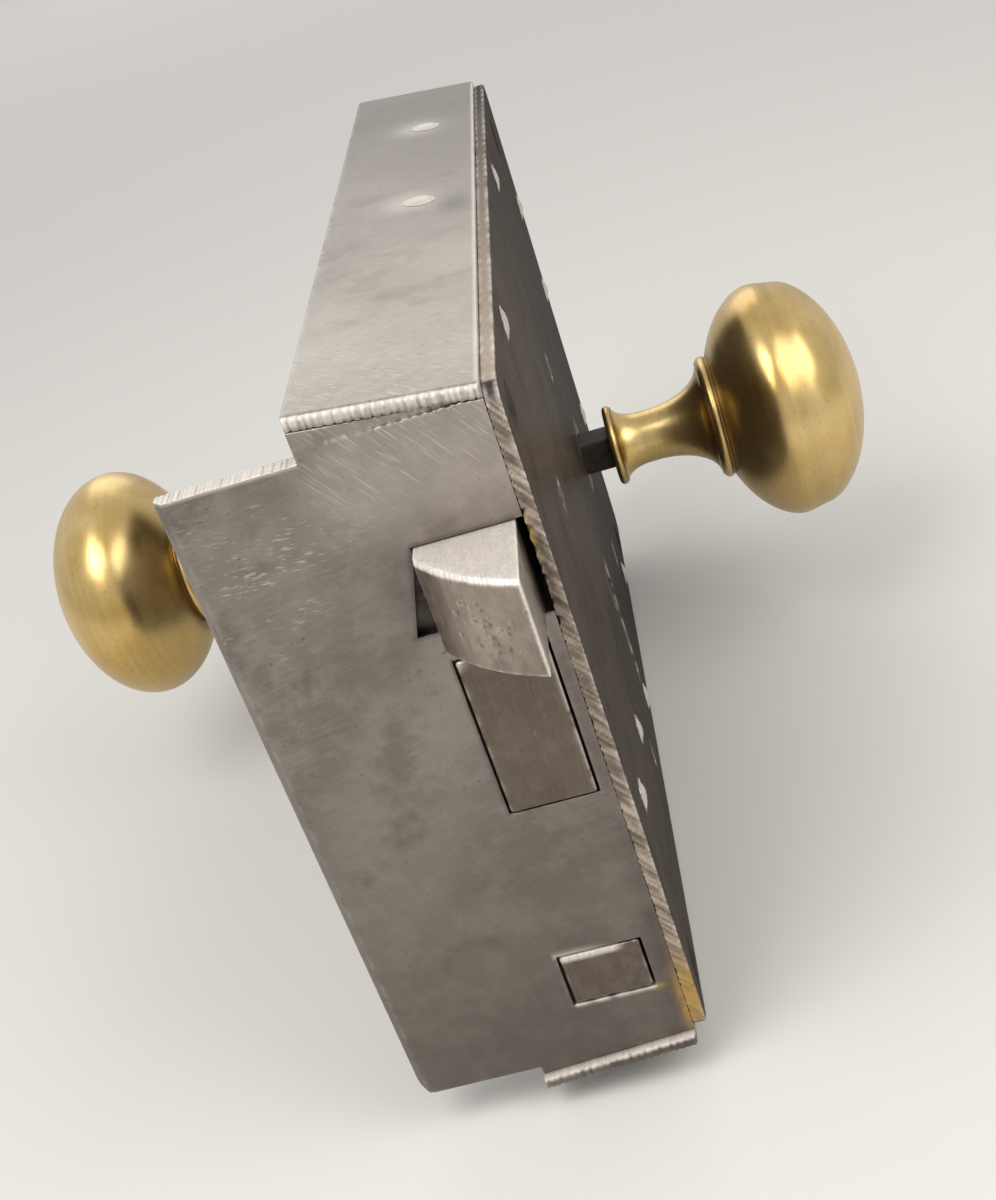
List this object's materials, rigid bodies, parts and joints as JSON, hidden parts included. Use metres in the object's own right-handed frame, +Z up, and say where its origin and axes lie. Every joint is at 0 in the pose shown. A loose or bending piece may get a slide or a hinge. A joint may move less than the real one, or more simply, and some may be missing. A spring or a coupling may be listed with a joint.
{
  "type": "rim box lock",
  "caption": "Plate-steel rim box lock with a lipped selvedge, a knob-driven bevelled latch, a key bolt, a night bolt and brass knobs on a square spindle.",
  "frame": {"origin": "where the lip's inner face, the door face of the case and the line between latch and key bolt meet", "axes": "+X from the selvedge to the rear of the case (bolts throw toward -X), +Y from the case toward the door, +Z up"},
  "size_m": [0.222, 0.2038, 0.1439],
  "materials": {
    "plate_steel": "worn satin, filed, stained",
    "dark_iron": "dark, lightly rusted",
    "spring_steel": "dark tempered",
    "brass": "old-gold satin"
  },
  "bodies": {
    "case": {"main_plate": "plate_steel", "top_plate": "plate_steel", "bottom_plate": "plate_steel", "rear_plate": "plate_steel", "selvedge": "plate_steel", "cap_plate": "plate_steel", "cap_posts": "dark_iron", "cap_screws": "dark_iron", "case_rivets": "plate_steel", "top_rivets": "plate_steel", "latch_tail_guide": "plate_steel", "latch_spring": "spring_steel", "bolt_stud": "dark_iron", "bolt_staple": "dark_iron", "detent_stud": "dark_iron", "plate_ward": "dark_iron", "cap_ward": "dark_iron", "night_staple": "dark_iron", "night_spring": "spring_steel"},
    "knob_set": {"follower": "dark_iron", "spindle": "dark_iron", "room_knob": "brass", "door_knob": "brass", "knob_screws": "dark_iron"},
    "latch": {"latch_bolt": "plate_steel"},
    "dead_bolt": {"key_bolt": "plate_steel", "bolt_back_spring": "spring_steel"},
    "slide_bolt": {"night_bolt": "plate_steel", "thumb_knob": "brass"}
  },
  "joints": [
    {"name": "knob_turn", "type": "hinge", "parent": "case", "child": "knob_set", "pos_m": [0.143, 0, -0.0356], "axis": [0, 1, 0], "range_deg": [0, 43.7]},
    {"name": "latch_slide", "type": "slide", "parent": "case", "child": "latch", "axis": [1, 0, 0], "range_m": [0, 0.0187], "stiffness_N_per_m": 250, "springref_m": -0.012, "deforming": ["latch_spring"]},
    {"name": "bolt_slide", "type": "slide", "parent": "case", "child": "dead_bolt", "axis": [-1, 0, 0], "range_m": [0, 0.016]},
    {"name": "night_slide", "type": "slide", "parent": "case", "child": "slide_bolt", "axis": [-1, 0, 0], "range_m": [0, 0.012]}
  ],
  "couplings": [
    {"joint": "latch_slide", "follows": "knob_turn", "m_per_rad": 0.0245}
  ]
}
